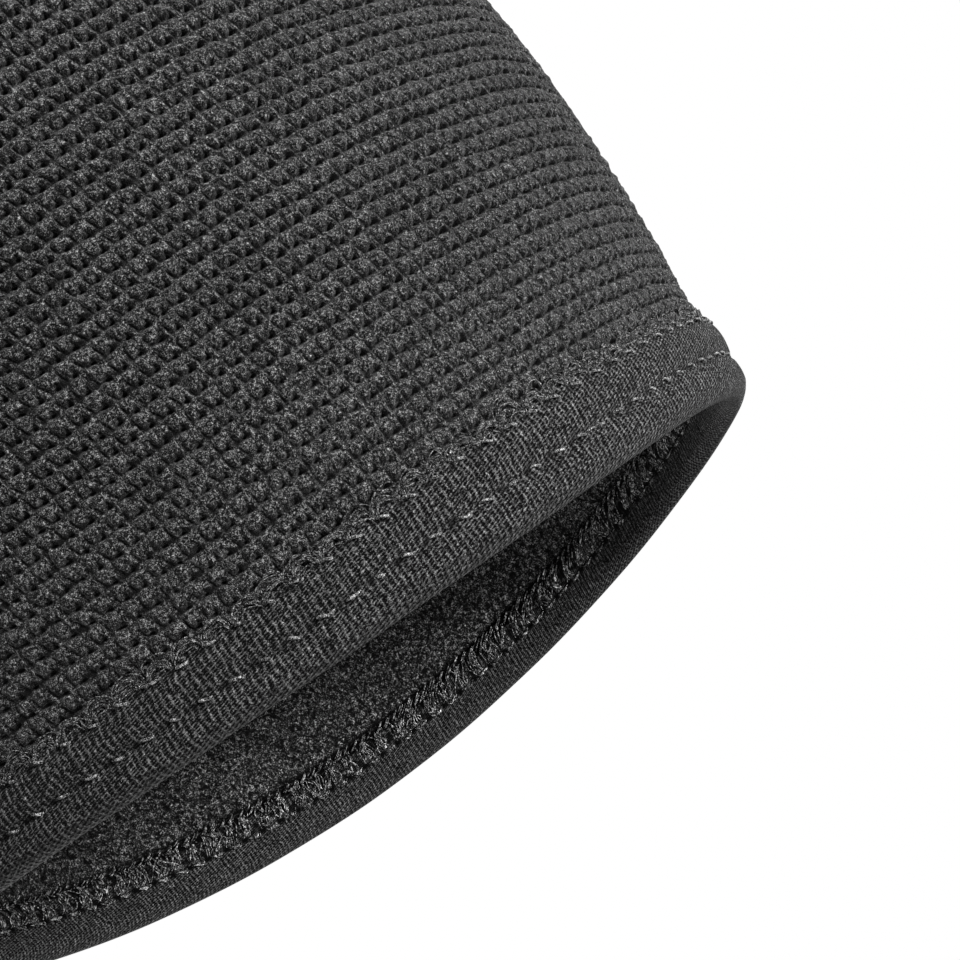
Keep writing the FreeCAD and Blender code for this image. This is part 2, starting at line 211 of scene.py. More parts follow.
def course_level(turn, back_level):
    """The level of a row of knitting. Under the thigh hem the rows run along its tape."""
    follow_end, follow_fade = 125.0, 60.0  # depths below the hem
    tilt_start, tilt_fade = 14.0, 16.0
    tilt, tilt_reach = 0.02, 45.0
    level = row_level(turn, back_level)
    below = BACK_HEIGHT - back_level
    fade = smooth((follow_end - below) / follow_fade)
    shift = np.clip(below, 0, TAPE_DEPTH) * (tape_share(turn, level) - 1)
    x = surface(turn, back_level, 0)[..., X]
    tilted = tilt * smooth((below - tilt_start) / tilt_fade)
    return level - fade * (shift + tilted * tilt_reach * np.tanh(x / tilt_reach))


def hem_point(hem, turn, depth, lift):
    """Points at a depth from a hem's edge."""
    if hem == "calf":
        return surface(turn, depth, lift)
    edge = row_level(turn, BACK_HEIGHT + 0 * depth)
    return surface(turn, edge - depth * tape_share(turn, edge), lift)


# ---------------------------------------------------------------- meshes


def grid(rows, columns, wrap):
    """Quads over a grid of points, and each corner's column and row."""
    across = columns if wrap else columns - 1
    row, column = np.meshgrid(np.arange(rows - 1), np.arange(across), indexing="ij")
    corner_row = np.stack([row, row + 1, row + 1, row], -1).reshape(-1, 4)
    corner_column = np.stack([column, column, column + 1, column + 1], -1).reshape(-1, 4)
    return corner_row * columns + corner_column % columns, corner_column, corner_row


def new_object(name, data):
    made = bpy.data.objects.new(name, data)
    bpy.context.scene.collection.objects.link(made)
    return made


def add_piece(name, points, faces, material, maps, values=None):
    """A mesh piece from points in millimetres and arrays of faces with equal corner counts.
    Maps give each corner a UV, and values give each point a number."""
    mesh = bpy.data.meshes.new(name)
    points = np.asarray(points, np.float32).reshape(-1, 3) * MM
    corners = np.concatenate([f.ravel() for f in faces]).astype(np.int32)
    totals = np.concatenate([np.full(len(f), f.shape[1]) for f in faces])
    starts = running_sum(totals)[:-1].astype(np.int32)
    mesh.vertices.add(len(points))
    mesh.vertices.foreach_set("co", points.ravel())
    mesh.loops.add(len(corners))
    mesh.loops.foreach_set("vertex_index", corners)
    mesh.polygons.add(len(starts))
    mesh.polygons.foreach_set("loop_start", starts)
    mesh.update(calc_edges=True)
    mesh.polygons.foreach_set("use_smooth", np.ones(len(starts), bool))
    for label, uv in maps.items():
        layer = mesh.uv_layers.new(name=label)
        layer.uv.foreach_set("vector", np.asarray(uv, np.float32).ravel())
    for label, value in (values or {}).items():
        attribute = mesh.attributes.new(label, "FLOAT", "POINT")
        attribute.data.foreach_set("value", np.asarray(value, np.float32).ravel())
    mesh.validate()
    mesh.materials.append(material)
    piece = new_object(name, mesh)
    return piece


def bend(piece):
    """The piece's place is baked into its mesh."""
    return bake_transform(piece)


def tubes(paths, outs, radii, sides):
    """Closed tubes along paths, S x P x 3, with an outward direction at each point: their
    points, faces and bake map."""
    count, steps, _ = paths.shape
    tangent = np.gradient(paths, axis=1)
    tangent /= np.linalg.norm(tangent, axis=-1, keepdims=True)
    side = np.cross(tangent, outs)
    side /= np.linalg.norm(side, axis=-1, keepdims=True)
    up = np.cross(side, tangent)
    round_angle = np.arange(sides) * TAU / sides
    ring = (
        side[:, :, None] * np.cos(round_angle)[:, None]
        + up[:, :, None] * np.sin(round_angle)[:, None]
    )
    points = paths[:, :, None] + ring * np.broadcast_to(radii, (count, steps))[..., None, None]
    one, corner_column, corner_row = grid(steps, sides, True)
    base = np.arange(count)[:, None, None] * steps * sides
    quads = (one[None] + base).reshape(-1, 4)
    cap = np.arange(sides)
    caps = np.concatenate([
        (cap[None] + base[:, 0]), (cap[None, ::-1] + (steps - 1) * sides + base[:, 0])
    ])
    along = (np.arange(count)[:, None, None] + corner_row / (steps - 1)) / count
    across = np.broadcast_to(corner_column / sides, along.shape)
    walls = np.stack([along, across], -1).reshape(-1, 2)
    ends = np.zeros((caps.size, 2))
    ends[:, 0] = np.repeat(np.tile((np.arange(count) + 0.5) / count, 2), sides)
    return points.reshape(-1, 3), [quads, caps], {"OFBake": np.concatenate([walls, ends])}


# ---------------------------------------------------------------- materials


class Nodes:
    """The nodes of a material or a world, with short calls that add and link them."""

    def __init__(self, owner):
        owner.use_nodes = True
        self.owner = owner
        self.tree = owner.node_tree

    def put(self, node, inputs):
        """Set a node's inputs, or link them to other nodes."""
        for socket, value in dict(inputs).items():
            if isinstance(value, bpy.types.NodeSocket):
                self.tree.links.new(value, node.inputs[socket])
            else:
                node.inputs[socket].default_value = value

    def add(self, kind, inputs=(), **settings):
        node = self.tree.nodes.new("ShaderNode" + kind)
        for name, value in settings.items():
            setattr(node, name, value)
        self.put(node, inputs)
        return node

    def math(self, operation, *values):
        return self.add("Math", enumerate(values), operation=operation).outputs[0]

    def noise(self, vector, scale, detail):
        inputs = {"Vector": vector, "Scale": scale, "Detail": detail}
        return self.add("TexNoise", inputs).outputs["Fac"]

    def ramp(self, factor, *stops):
        """Greys between stops of position and grey."""
        node = self.add("ValToRGB", {"Fac": factor})
        elements = node.color_ramp.elements
        while len(elements) < len(stops):
            elements.new(0.5)
        for element, (position, grey) in zip(elements, stops):
            element.position = position
            element.color = (grey, grey, grey, 1)
        return node.outputs["Color"]

    def multiply(self, first, second):
        inputs = {"Factor": 1, "A": first, "B": second}
        return self.add("Mix", inputs, data_type="RGBA", blend_type="MULTIPLY").outputs["Result"]

    def bump(self, height, distance):
        inputs = {"Distance": distance * MM, "Height": height}
        return self.add("Bump", inputs).outputs["Normal"]

    def mesh_value(self, name):
        """A value that the mesh carries at each point."""
        return self.add("Attribute", attribute_name=name).outputs["Fac"]

    def fibre_tone_and_sparkle(self, place, grain):
        """Fine specks and larger clumps of fibre tone around zero, the lightest painted sparkle."""
        fine = self.noise(place, 1 / (grain * MM), 0)
        clumps = self.noise(place, 0.35 / (grain * MM), 1)
        return self.math("SUBTRACT", self.math("ADD", fine, clumps), 1.0)

    def shaded(self, marks, contrast, tone):
        """A grey of a tone, made lighter or darker by marks that lie around zero."""
        shade = self.math("MULTIPLY_ADD", marks, contrast, 1.0)
        shade = self.math("POWER", self.math("MAXIMUM", shade, 0.1), 2.2)
        return self.math("MULTIPLY", shade, tone)

    def with_painted_pit_shade(self, colour):
        """The colour with painted shade in the mesh's pits."""
        shade = self.ramp(self.mesh_value("pit"), (0.0, 1.0), (0.35, 0.28), (0.7, 0.015))
        return self.multiply(colour, shade)


def new_finish(name):
    """A new material's nodes, its shader and the place that each point has on the object."""
    nodes = Nodes(bpy.data.materials.new(name))
    shader = nodes.tree.nodes["Principled BSDF"]
    return nodes, shader, nodes.add("TexCoord").outputs["Object"]


def soft_finish(nodes, shader, colour, normal, roughness, sheen):
    """Cloth and thread have hardly any gloss, and a little sheen."""
    nodes.put(shader, {
        "Base Color": colour,
        "Normal": normal,
        "Roughness": roughness,
        "Specular IOR Level": 0.03,
        "Sheen Weight": sheen,
        "Sheen Roughness": 0.5,
    })
    return nodes.owner


def cloth_material(name, tone, sheen=0.04, shade_pits=False):
    """Fuzzy yarn: specks of light and dark fibre, the lightest a painted sparkle, with painted
    shade in the pits where the mesh marks them, and coarser specks on its inner face."""
    grain, inner_grain, contrast = 0.095, 0.2, 6.0
    nodes, shader, place = new_finish(name)
    marks = nodes.fibre_tone_and_sparkle(place, grain)
    if shade_pits:
        coarse = nodes.fibre_tone_and_sparkle(place, inner_grain)
        inner = nodes.math("MULTIPLY", coarse, nodes.mesh_value("inner"))
        marks = nodes.math("ADD", marks, inner)
    colour = nodes.shaded(marks, contrast, tone)
    broad = nodes.noise(place, 60, 2)
    colour = nodes.multiply(colour, nodes.ramp(broad, (0.3, 0.8), (0.7, 1.0)))
    if shade_pits:
        colour = nodes.with_painted_pit_shade(colour)
    return soft_finish(nodes, shader, colour, nodes.bump(marks, 0.15), 0.9, sheen)


def tape_material(name, tone, column_width, gap_rise, shade_pits=False):
    """A fine rib weave: columns of short slanting gaps between the threads, mapped by the UV map
    weave in millimetres."""
    nodes, shader, place = new_finish(name)
    weave = nodes.add("UVMap", uv_map="weave").outputs["UV"]
    split = nodes.add("SeparateXYZ", {0: weave}).outputs
    wobble = nodes.math("MULTIPLY", nodes.noise(place, 900, 1), 5.0)
    column = nodes.math("MULTIPLY", split["X"], TAU / column_width)
    column = nodes.math("ADD", column, wobble)
    row = nodes.math("MULTIPLY", split["Y"], TAU / gap_rise)
    slant = nodes.math("MULTIPLY", column, 0.65)
    tilt = nodes.math("MULTIPLY", nodes.math("SINE", column), -0.2)
    phase = nodes.math("ADD", nodes.math("ADD", slant, tilt), row)
    rib = nodes.math("COSINE", column)
    reach = nodes.math("MULTIPLY_ADD", rib, 0.4, 0.6)
    gap = nodes.math("MULTIPLY", nodes.math("COSINE", phase), reach)
    rib = nodes.math("MULTIPLY", rib, 0.58)
    height = nodes.math("MULTIPLY", nodes.math("ADD", gap, rib), -1.0)
    specks = nodes.math("MULTIPLY", nodes.fibre_tone_and_sparkle(place, 0.12), 3.6)
    # The colour follows the height: painted shade in the weave's gaps and between its ribs, and
    # specks.
    colour = nodes.shaded(nodes.math("ADD", height, specks), 1.2, tone)
    # Painted shade in the needle holes and along the rows, where the mesh marks it.
    if shade_pits:
        colour = nodes.with_painted_pit_shade(colour)
    return soft_finish(nodes, shader, colour, nodes.bump(height, 0.06), 0.8, 0.03)


def thread_material(name, tone, roughness, contrast, grain=0.11):
    """Twisted thread: fine ply marks with a low gloss."""
    nodes, shader, place = new_finish(name)
    marks = nodes.fibre_tone_and_sparkle(place, grain)
    colour = nodes.shaded(marks, contrast, tone)
    return soft_finish(nodes, shader, colour, nodes.bump(marks, 0.1), roughness, 0.1)


def gel_material(name, tone):
    """Soft moulded gel or plastic, slightly mottled."""
    nodes, shader, place = new_finish(name)
    mottle = nodes.noise(place, 250, 4)
    nodes.put(shader, {
        "Base Color": nodes.ramp(mottle, (0.3, tone * 0.8), (0.7, tone * 1.2)),
        "Normal": nodes.bump(mottle, 0.1),
        "Roughness": 0.4,
    })
    return nodes.owner


def steel_material(name):
    """Drawn spring wire with fine scratches."""
    nodes, shader, place = new_finish(name)
    marks = nodes.noise(place, 2500, 4)
    nodes.put(shader, {
        "Base Color": nodes.ramp(marks, (0.3, 0.42), (0.7, 0.6)),
        "Normal": nodes.bump(marks, 0.02),
        "Metallic": 1,
        "Roughness": 0.35,
    })
    return nodes.owner


KNIT = cloth_material("knit_yarn", 0.0238, sheen=0.12, shade_pits=True)
TAPE = tape_material("binding_weave", 0.0159, 0.68, 0.38, shade_pits=True)
CHANNEL = tape_material("channel_weave", 0.03, 0.9, 0.7)
LINING = cloth_material("lining_fleece", 0.036)
NEEDLE_THREAD = thread_material("needle_thread", 0.112, 0.5, 3.2)
LOOPER_THREAD = thread_material("looper_thread", 0.054, 0.8, 4.0)
RUNG_THREAD = thread_material("rung_thread", 0.112, 0.8, 4.3, grain=0.2)
GEL = gel_material("ring_gel", 0.35)
STEEL = steel_material("spring_wire")
TIP = gel_material("tip_plastic", 0.02)

# ---------------------------------------------------------------- knit


def lattice(seed, column, row):
    """Smooth random values from 0 to 1 over the knit's cells, closed round the sleeve."""
    values = np.random.default_rng(seed).random((ROWS + 3, COLUMNS))
    left, low = np.floor(column).astype(int), np.floor(row).astype(int)
    s, t = smooth(column - left), smooth(row - low)
    low, high = low % len(values), (low + 1) % len(values)
    left, right = left % COLUMNS, (left + 1) % COLUMNS
    a, b, c, d = values[low, left], values[low, right], values[high, left], values[high, right]
    return (a * (1 - s) + b * s) * (1 - t) + (c * (1 - s) + d * s) * t


def near(value, centre):
    """How far a share of a cell is from a centre, the nearest way round."""
    return (value - centre + 0.5) % 1 - 0.5


def spot(u, v, centre, radii, slant=0.0):
    """A soft spot in each cell, 1 at its centre; slant leans it across as it runs down."""
    down = near(v, centre[1])
    across = near(u - slant * down, centre[0])
    return np.exp(-((across / radii[0]) ** 2) - (down / radii[1]) ** 2)


def knit_relief(column, row):
    """How far the yarn stands out, in millimetres, and how much painted pit shade each point gets.

    Each row is a soft roll of plump loops that lean over to their pinholes, and beside each
    loop a narrow rib of yarn runs on through the rows. The pinholes open up away from the
    hems. u and v are the shares of a cell across it and up it."""
    fluff = 0.2 * (lattice(8, 2 * column, 3 * row) - 0.5)
    fluff = fluff + 0.16 * (lattice(9, 5 * column, 5 * row) - 0.5)
    column = column + 0.3 * (lattice(1, column, row) - 0.5)
    row = row + 0.2 * (lattice(2, column, row) - 0.5)
    u, v = column % 1, row % 1
    fullness = 0.75 + 0.5 * lattice(4, column, row)

    across = near(u, 0.22 + 0.29 * v) / 0.42
    loop = np.clip(1 - across**2, 0, 1)
    roll = np.clip(1 - np.abs(near(v, 0.55) / 0.48) ** 3, 0, 1) ** 0.5
    body = (0.26 + 0.18 * loop * fullness) * roll
    swell = bell(near(v, 0.82) / 0.3)
    rib_across = np.clip(1 - (near(u, 0.85) / (0.15 + 0.05 * swell)) ** 2, 0, 1) ** 0.5
    rib = (0.28 + 0.1 * swell * fullness) * rib_across

    tight_rows, opening_rows = 8, 7  # from a hem inwards
    rows_in = np.minimum(row, ROWS - row)
    stretch = 1 + 0.45 * smooth((rows_in - tight_rows) / opening_rows)
    opening = (0.6 + 0.4 * lattice(3, column, row)) * stretch
    pinhole = spot(u, v, (0.5, 0.98), (0.15, 0.085))
    pinhole = pinhole + 0.8 * spot(u, v, (0.62, 0.84), (0.06, 0.14), 0.2)
    pinhole = np.clip(pinhole, 0, 1) * opening
    gap = spot(u, v, (0.07, 0.74), (0.055, 0.25), 0.28) * opening
    under = spot(u, v, (0.3, 0.99), (0.34, 0.05)) * lattice(5, 3 * column, row)
    groove = bell(near(u, 0.04) / 0.07) * (0.4 + 0.6 * lattice(12, column, 2 * row))
    height = np.maximum(body, rib) - 0.8 * pinhole - 0.3 * gap - 0.16 * under - 0.18 * groove
    # Painted shade only: random dark patches along the bottom of each row, with no dent in the
    # yarn.
    crevice_shade = smooth((0.46 - lattice(11, 4 * column, 4 * row)) / 0.2)
    crevice_shade = crevice_shade * bell(near(v, 0.96) / 0.15)
    # Painted shade in pinholes, gaps, grooves, under loops and in those patches; no fluff there.
    pit = pinhole + 0.6 * gap + 0.5 * under + 0.85 * crevice_shade + 0.3 * groove
    pit = np.clip(pit, 0, 1)
    return height + fluff * (1 - pit) - 0.12, pit


def twist(back_level):
    """How far a column has swung round the sleeve, as a share of a turn: it leans most a
    little below the thigh hem."""
    lean, lean_depth, lean_spread = 0.21, 42, 24
    girth, samples = 345, 531
    levels = np.linspace(0, BACK_HEIGHT, samples)
    slope = lean * bell((BACK_HEIGHT - levels - lean_depth) / lean_spread)
    swing = running_sum(slope[1:]) * BACK_HEIGHT / (samples - 1)
    return np.interp(back_level, levels, swing) / girth


def from_hems(back_level):
    """How far a level is from the nearer hem."""
    return np.minimum(back_level, BACK_HEIGHT - back_level)


def sleeve_form(turn, back_level, level):
    """How far the parts inside the sleeve push the knit out and its seams hold it in, and how
    firmly a hem's tape holds it."""
    channel_push, ring_push = 0.55, 1.1
    seam_pull, tape_pull, gather_pull = 0.35, 0.4, 0.55
    gather_depth, gather_reach = 11, 7
    end_fade, side_start = 8, 20
    to_seam = 40  # about the millimetres from the lining's middle to its seam
    point = surface(turn, level, 0)
    x, y, z = point[..., X], point[..., Y], point[..., Z]
    low, high = node_span("right_channel", Z)
    front, back = node_span("right_channel", Y)
    from_stay, half = y - (front + back) / 2, (back - front) / 2
    at_stay = smooth((z - low) / end_fade) * smooth((high - z) / end_fade)
    at_stay = at_stay * (np.abs(x) > side_start)
    channel = channel_push * pressed(from_stay, half) * at_stay
    seams = sum(pressed(from_stay - side * (half - SEAM_INSET), 1.6) for side in (-1, 1))
    seams = seams * at_stay
    half_width, half_height, middle = lining_size()
    out = np.hypot(x / (half_width - SEAM_INSET), (z - middle) / (half_height - SEAM_INSET))
    ring = ring_push * pressed(out - 0.78, 0.3) * (y < 0)
    rim = pressed((out - 1) * to_seam, 1.7) * (y < 0)
    hem_low = from_hems(back_level)
    held = smooth((TAPE_DEPTH - hem_low) / 0.8)
    gather = gather_pull * bell((hem_low - gather_depth) / gather_reach) * (1 - held)
    pull = seam_pull * (seams + rim) + tape_pull * held + gather
    return channel + ring - pull, held


def cell_steps(points):
    """Steps round the sleeve in cells, from how many points each cell has."""
    return np.concatenate([cell + np.arange(count) / count for cell, count in enumerate(points)])


def knit_grid(low_row, high_row, steps, row_points):
    """A grid of points on the knit: their rows, columns, levels at the back, turns and levels,
    and a share that falls to 0 at the grid's first and last row."""
    rows = np.linspace(low_row, high_row, (high_row - low_row) * row_points + 1)
    row, column = np.meshgrid(rows, steps, indexing="ij")
    back_level = KNIT_MARGIN + row * ((BACK_HEIGHT - 2 * KNIT_MARGIN) / ROWS)
    turn = column / COLUMNS + twist(back_level)
    inland = smooth(np.minimum(row - low_row, high_row - row) * 2)
    return row, column, back_level, turn, course_level(turn, back_level), inland


def bridge(first, first_at, second, second_at):
    """Triangles between two closed rings of points, in order of their columns."""
    first_at, second_at = np.append(first_at, COLUMNS), np.append(second_at, COLUMNS)
    faces = []
    i = j = 0
    while i < len(first) or j < len(second):
        here, there = first[i % len(first)], second[j % len(second)]
        if j == len(second) or (i < len(first) and first_at[i + 1] <= second_at[j + 1]):
            i += 1
            faces.append((there, here, first[i % len(first)]))
        else:
            j += 1
            faces.append((there, here, second[j % len(second)]))
    return np.array(faces)


def sleeve_piece(name, low_row, high_row, outer_points, inner_points):
    """A closed stretch of the knitted wall. Its points to a cell, at the back and at the front,
    are given for the outer face and for the inner."""
    inner_specks = 1.15  # the strength of the coarser specks on the inner face
    at_back = np.abs(near(np.arange(COLUMNS) / COLUMNS, 0)) < BACK_SHARE
    steps = cell_steps(np.where(at_back, *outer_points))
    row, column, back_level, turn, level, inland = knit_grid(
        low_row, high_row, steps, max(outer_points)
    )
    rows, columns = row.shape
    relief, pit = knit_relief(column, row)
    form, held = sleeve_form(turn, back_level, level)
    outer = surface(turn, level, relief * (1 - 0.75 * held) * inland + form)
    pit = pit * (1 - held)

    inner_steps = cell_steps(np.where(at_back, *inner_points))
    row, column, back_level, turn, level, inland = knit_grid(
        low_row, high_row, inner_steps, max(inner_points)
    )
    inner_rows, inner_columns = row.shape
    tufts, fleece = lattice(10, 5 * column, 5 * row), lattice(7, 3 * column, 2 * row)
    loops = 0.1 * np.cos(TAU * row) * (0.5 + lattice(6, column, row)) + 0.3 * (tufts - 0.5)
    loops += 0.06 * np.cos(TAU * column) + 0.3 * (fleece - 0.5)
    hem_low = from_hems(back_level)
    held = smooth((TAPE_DEPTH + 2 - hem_low) / 2)
    inner = surface(turn, level, -KNIT_WALL - loops * inland * (1 - held) + 0.3 * held)
    # Painted shade inside: darker where the tufts lie low, and a painted shadow at the tape's edge.
    inner_pit_shade = 0.6 * smooth((0.4 - tufts) / 0.2) * (0.5 + fleece)
    inner_pit_shade = np.maximum(inner_pit_shade, 0.9 * pressed(hem_low - TAPE_DEPTH, 0.6))

    inside = pit.size
    out_quads, out_column, out_row = grid(rows, columns, True)
    in_quads, in_column, in_row = grid(inner_rows, inner_columns, True)
    out_ring, in_ring = np.arange(columns), inside + np.arange(inner_columns)
    low_rim = bridge(out_ring, steps, in_ring, inner_steps)
    last_out, last_in = (rows - 1) * columns, (inner_rows - 1) * inner_columns
    high_rim = bridge(out_ring + last_out, steps, in_ring + last_in, inner_steps)[:, ::-1]
    rims = np.concatenate([low_rim, high_rim])
    out_map = np.stack([out_column / columns, 0.5 + 0.5 * out_row / (rows - 1)], -1)
    in_map = np.stack([in_column / inner_columns, 0.5 * in_row / (inner_rows - 1)], -1)
    bake = np.concatenate([
        out_map.reshape(-1, 2), in_map[:, ::-1].reshape(-1, 2), np.zeros((rims.size, 2))
    ])
    return add_piece(
        name,
        np.concatenate([outer.reshape(-1, 3), inner.reshape(-1, 3)]),
        [out_quads, in_quads[:, ::-1] + inside, rims],
        KNIT,
        maps={"OFBake": bake},
        values={
            # Painted pit shade for the outer face and the inner one.
            "pit": np.concatenate([pit.ravel(), inner_pit_shade.ravel()]),
            "inner": np.repeat((0, inner_specks), (pit.size, inner_pit_shade.size)),
        },
    )


def make_knit():
    split = ROWS - HEM_ROWS
    upper = sleeve_piece("thigh_end_knit", split, ROWS, (10, 4), (3, 8))
    lower = sleeve_piece("leg_knit", 0, split, (4, 4), (2, 2))
    bend(upper)
    bend(lower)
    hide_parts("thigh_knit")
    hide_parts("calf_knit", "knee_knit")


# ---------------------------------------------------------------- hems


def stitch_turns(hem):
    """The turn at each needle hole of a hem, and the length of its needle row."""
    turn = np.linspace(0, 1, 2001)
    row = hem_point(hem, turn, np.full(len(turn), NEAR_ROW), 0)
    length = running_sum(np.linalg.norm(np.diff(row, axis=0), axis=1))
    count = round(length[-1] / STITCH_LENGTH)
    return np.interp(np.arange(count) / count * length[-1], length, turn), length[-1]


def binding_relief(stitch, turn, depth, face):
    """How far the tape stands out from its smooth path, how much painted shade it gets in its
    needle holes and along its rows, and how its edge waves. The stitch is a count along the hem;
    face is 1 outside, -1 inside and between them in the fold."""
    depth, face = depth[:, None], face[:, None]
    inside = face < 0
    near_row = np.where(inside, INNER_NEAR_ROW, NEAR_ROW)
    near_hole = pressed((stitch + 0.5) % 1 - 0.5, 0.28)
    puff = 0.3 * arched((depth - 0.3) / 3.9) + 0.34 * arched((depth - NEAR_ROW) / 4)
    notch = sum(pressed(depth - row, 0.75) for row in (near_row, FAR_ROW))
    dent = notch * (0.12 + 0.3 * near_hole)
    raw = 0.35 * smooth((depth - TAPE_DEPTH + 0.5) / 0.5)
    ripple = 0.05 * np.sin(TAU * stitch + 1.3) * arched(depth / 8)
    relief = face * np.abs(face) * (puff - dent - raw + ripple)

    # Painted shade in the needle holes, and inside a painted shadow along the far row.
    hole_shade = sum(pressed(depth - row, 0.5 + 0.3 * inside) for row in (near_row, FAR_ROW))
    hole_shade = hole_shade * pressed(near(stitch, 0.84), 0.24 + 0.12 * inside) * (0.55 + 0.45 * inside)
    hole_shade = hole_shade + 0.7 * inside * pressed(depth - FAR_ROW, 0.7)
    # Patches of painted shadow between the rows, inside.
    between = smooth((depth - near_row) / 0.6) * smooth((FAR_ROW - depth) / 0.6)
    shadow = smooth((0.5 - lattice(14, 4 * stitch, 2.2 * depth)) / 0.2)
    pit = np.clip(hole_shade + 0.6 * inside * between * shadow, 0, 1)

    wave = 0.12 * np.sin(TAU * 7 * turn + 2.0) + 0.08 * np.sin(TAU * 17 * turn)
    return relief, pit, 0.25 * wave * np.cos(np.clip(depth / 6, 0, 1) * np.pi / 2)


def binding(hem):
    """A folded tape sewn over a hem, puffed between its needle rows. Returns its holes."""
    per_stitch = 10
    holes, girth = stitch_turns(hem)
    columns = len(holes) * per_stitch
    stitch = np.arange(columns) / per_stitch
    turn = np.interp(stitch, np.arange(len(holes) + 1), np.append(holes, 1.0))

    wall_middle = -KNIT_WALL / 2
    fold = KNIT_WALL / 2 + TAPE_THICKNESS  # the fold's radius
    depths = np.linspace(TAPE_DEPTH, fold, 44)
    bow = np.linspace(0, np.pi, 19)[1:-1]
    ones = np.ones(len(depths))
    face = np.concatenate([ones, np.cos(bow), -ones])
    depth = np.concatenate([depths, fold - fold * np.sin(bow), depths[::-1]])
    relief, pit, edge_wave = binding_relief(stitch, turn, depth, face)
    lift = (wall_middle + fold * face)[:, None] + relief

    core = 0.35  # how far the tape's hidden face lies inside the knit's faces
    core_depth = np.array((TAPE_DEPTH, NEAR_ROW, TAPE_THICKNESS))
    core_depth = np.concatenate([core_depth, core_depth[::-1]])
    core_lift = np.repeat((core - KNIT_WALL, -core), 3)
    core_shape = (len(core_depth), columns)
    all_depth = np.concatenate([
        depth[:, None] + edge_wave, np.broadcast_to(core_depth[:, None], core_shape)
    ])
    all_lift = np.concatenate([lift, np.broadcast_to(core_lift[:, None], core_shape)])
    points = hem_point(hem, np.broadcast_to(turn, all_depth.shape), all_depth, all_lift)

    rows = len(points)
    one, corner_column, corner_row = grid(rows + 1, columns, True)
    path = np.concatenate([depth, core_depth])
    steps = running_sum(np.abs(np.diff(np.append(path, path[0]))) + 0.05)
    weave = np.stack([corner_column / columns * girth, steps[corner_row]], -1)
    bake = np.stack([corner_column / columns, corner_row / rows], -1)
    order = -1 if hem == "calf" else 1  # the calf hem's depth runs up, so its faces turn over
    piece = add_piece(
        f"{hem}_hem_tape",
        points,
        [one[:, ::order] % (rows * columns)],
        TAPE,
        maps={"OFBake": bake[:, ::order], "weave": weave[:, ::order]},
        # The tape's painted pit shade; its hidden core gets none.
        values={"pit": np.concatenate([pit, np.zeros(core_shape)])},
    )
    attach(piece, hem)
    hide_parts(f"{hem}_binding")
    return holes


def hem_threads(hem, name, node, paths, radii, sides, material):
    """Threads along a hem. Each path gives turns, depths and lifts, one row for each thread."""
    paths = [np.broadcast_arrays(*path) for path in paths]
    turn, depth, lift = (np.concatenate(part) for part in zip(*paths))
    points, faces, maps = tubes(hem_point(hem, turn, depth, lift), outward(turn), radii, sides)
    piece = add_piece(f"{hem}_{name}", points, faces, material, maps)
    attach(piece, hem)
    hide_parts(f"{hem}_{node}")


def needle_stitches(hem, first, span):
    """Two rows of stitches: each leaves its hole steeply and lies down along the tape."""
    rng = np.random.default_rng(11)
    s = np.array((0, 0.05, 0.11, 0.2, 0.3, 0.36, 0.44, 0.6, 0.8, 1.0))
    rise = np.array((-0.5, -0.1, 0.1, 0.16, 0.08, -0.04, -0.2, -0.26, -0.3, -0.5))
    drift = np.array((0.14, 0.16, 0.13, 0.04, -0.07, -0.12, -0.14, -0.08, -0.02, 0.0))
    radii = 0.15 * np.array((0.8, 1, 1, 1, 1, 1, 0.9, 0.8, 0.8, 0.8))
    paths = []
    for row in (NEAR_ROW, FAR_ROW):
        jitter = rng.normal(0, 0.06, (3, len(first), 1))
        depth = row + drift * (0.7 + 6 * jitter[2]) + jitter[0] + 0.06 * np.cos(9 * s)
        lift = TAPE_THICKNESS - 0.12 + rise + 1.3 * jitter[1]
        paths.append((first + span * s, depth, lift))
    hem_threads(
        hem, "needle_thread", "needle_stitches", paths, radii, 8, NEEDLE_THREAD
    )


def cover_loops(hem, first, span):
    """Soft loops of several strands, one over the tape's raw edge at each stitch."""
    strands, radius = 9, 0.055
    rng = np.random.default_rng(12)
    s = np.linspace(0, 1, 13)
    arch = np.sin(np.pi * s)
    paths = []
    for strand in range(strands):
        jitter = rng.normal(0, 1, (5, len(first), 1))
        order = strand - strands // 2
        half = span / 2 * (0.86 + 0.16 * jitter[0] + 0.03 * order)
        tall = 1.5 + 0.35 * jitter[1] + 0.12 * order
        turn = first + span / 2 - half * (np.cos(np.pi * s) - 0.25 * jitter[2] * arch)
        depth = FAR_ROW - 0.1 + tall * arch**0.7 + 0.06 * jitter[4] * np.sin(3 * np.pi * s)
        on_tape = smooth((TAPE_DEPTH + 0.3 - depth) / 0.5)
        lift = 0.06 + on_tape * 0.56 + (0.14 + 0.1 * jitter[3]) * arch - 0.4 * (1 - arch) ** 6
        paths.append((turn, depth, lift))
    hem_threads(
        hem, "edge_loops", "cover_loops", paths, radius, 5, LOOPER_THREAD
    )


